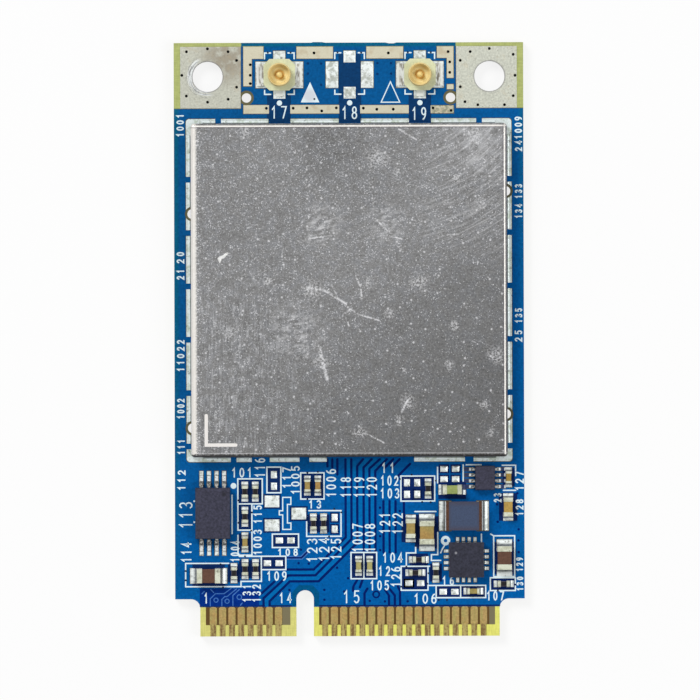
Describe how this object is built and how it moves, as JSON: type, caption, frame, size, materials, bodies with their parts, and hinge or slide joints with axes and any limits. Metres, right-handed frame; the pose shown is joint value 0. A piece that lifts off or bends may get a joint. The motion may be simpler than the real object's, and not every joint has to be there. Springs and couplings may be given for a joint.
{
  "type": "laptop wireless card",
  "caption": "Full-size mini card wireless module: blue circuit board with edge contacts and key slot, soldered shield can, push-on aerial connectors, memory chip, regulator and small parts.",
  "frame": {"origin": "on the underside, below the middle of the card", "axes": "+Z out of the component side, +Y towards the aerial connectors, +X to the right seen from above with the contacts at the bottom"},
  "size_m": [0.03, 0.051, 0.0029],
  "materials": {
    "laminate": "glass-fibre laminate, yellow-green, darker over inner copper",
    "solder_mask": "semi-gloss blue solder mask, navy over bare laminate",
    "tinned_land": "dull tinned copper, stained and rubbed by screw heads",
    "bare_copper": "pale tan preserved copper",
    "contact_gold": "thin gold, worn and wiped at the edge",
    "shield_metal": "tinned steel sheet, fine specks and scratches",
    "solder": "bright reflowed solder",
    "connector_plastic": "cream moulded plastic",
    "connector_gold": "gold-plated brass",
    "chip_plastic": "moulded chip resin, dark purple-grey",
    "lead_tin": "tin-plated leads",
    "ferrite": "brown ferrite",
    "inductor_resin": "slate-blue resin",
    "brown_ceramic": "brown capacitor ceramic",
    "tan_ceramic": "tan capacitor ceramic",
    "end_cap": "dull tin end caps with solder",
    "resistor_glaze": "black glaze",
    "crystal_ceramic": "dark ceramic",
    "filter_ceramic": "pale blue-grey ceramic"
  },
  "bodies": {
    "root": {"circuit_board": "laminate", "solder_mask_top": "solder_mask", "solder_mask_bottom": "solder_mask", "mounting_land_left": "tinned_land", "mounting_land_right": "tinned_land", "ground_strips": "bare_copper", "edge_contacts_top": "contact_gold", "edge_contacts_bottom": "contact_gold", "shield_can": "shield_metal", "shield_lands": "solder", "component_lands": "solder", "spare_lands": "solder", "aerial_lands": "solder", "aerial_1_insulator": "connector_plastic", "aerial_1_collar": "connector_gold", "aerial_1_pin": "connector_gold", "aerial_2_insulator": "connector_plastic", "aerial_2_collar": "connector_gold", "aerial_2_pin": "connector_gold", "memory_chip_body": "chip_plastic", "memory_chip_leads": "lead_tin", "switch_chip_body": "chip_plastic", "switch_chip_leads": "lead_tin", "regulator_body": "chip_plastic", "regulator_pads": "lead_tin", "inductor_core": "ferrite", "inductor_coil": "bare_copper", "inductor_cover": "inductor_resin", "inductor_terminals": "lead_tin", "input_capacitor_body": "brown_ceramic", "input_capacitor_ends": "end_cap", "output_capacitor_body": "brown_ceramic", "output_capacitor_ends": "end_cap", "filter_capacitor_body": "tan_ceramic", "filter_capacitor_ends": "end_cap", "medium_capacitor_bodies": "tan_ceramic", "medium_capacitor_ends": "end_cap", "small_capacitor_bodies": "tan_ceramic", "small_capacitor_ends": "end_cap", "small_resistor_bodies": "resistor_glaze", "small_resistor_ends": "end_cap", "radio_chip_body": "chip_plastic", "radio_chip_pads": "lead_tin", "amplifier_bodies": "chip_plastic", "amplifier_pads": "lead_tin", "crystal_base": "crystal_ceramic", "crystal_lid": "shield_metal", "inner_capacitor_bodies": "tan_ceramic", "inner_capacitor_ends": "end_cap", "inner_filter_bodies": "filter_ceramic", "inner_filter_ends": "end_cap", "inner_lands": "solder"}
  },
  "joints": []
}
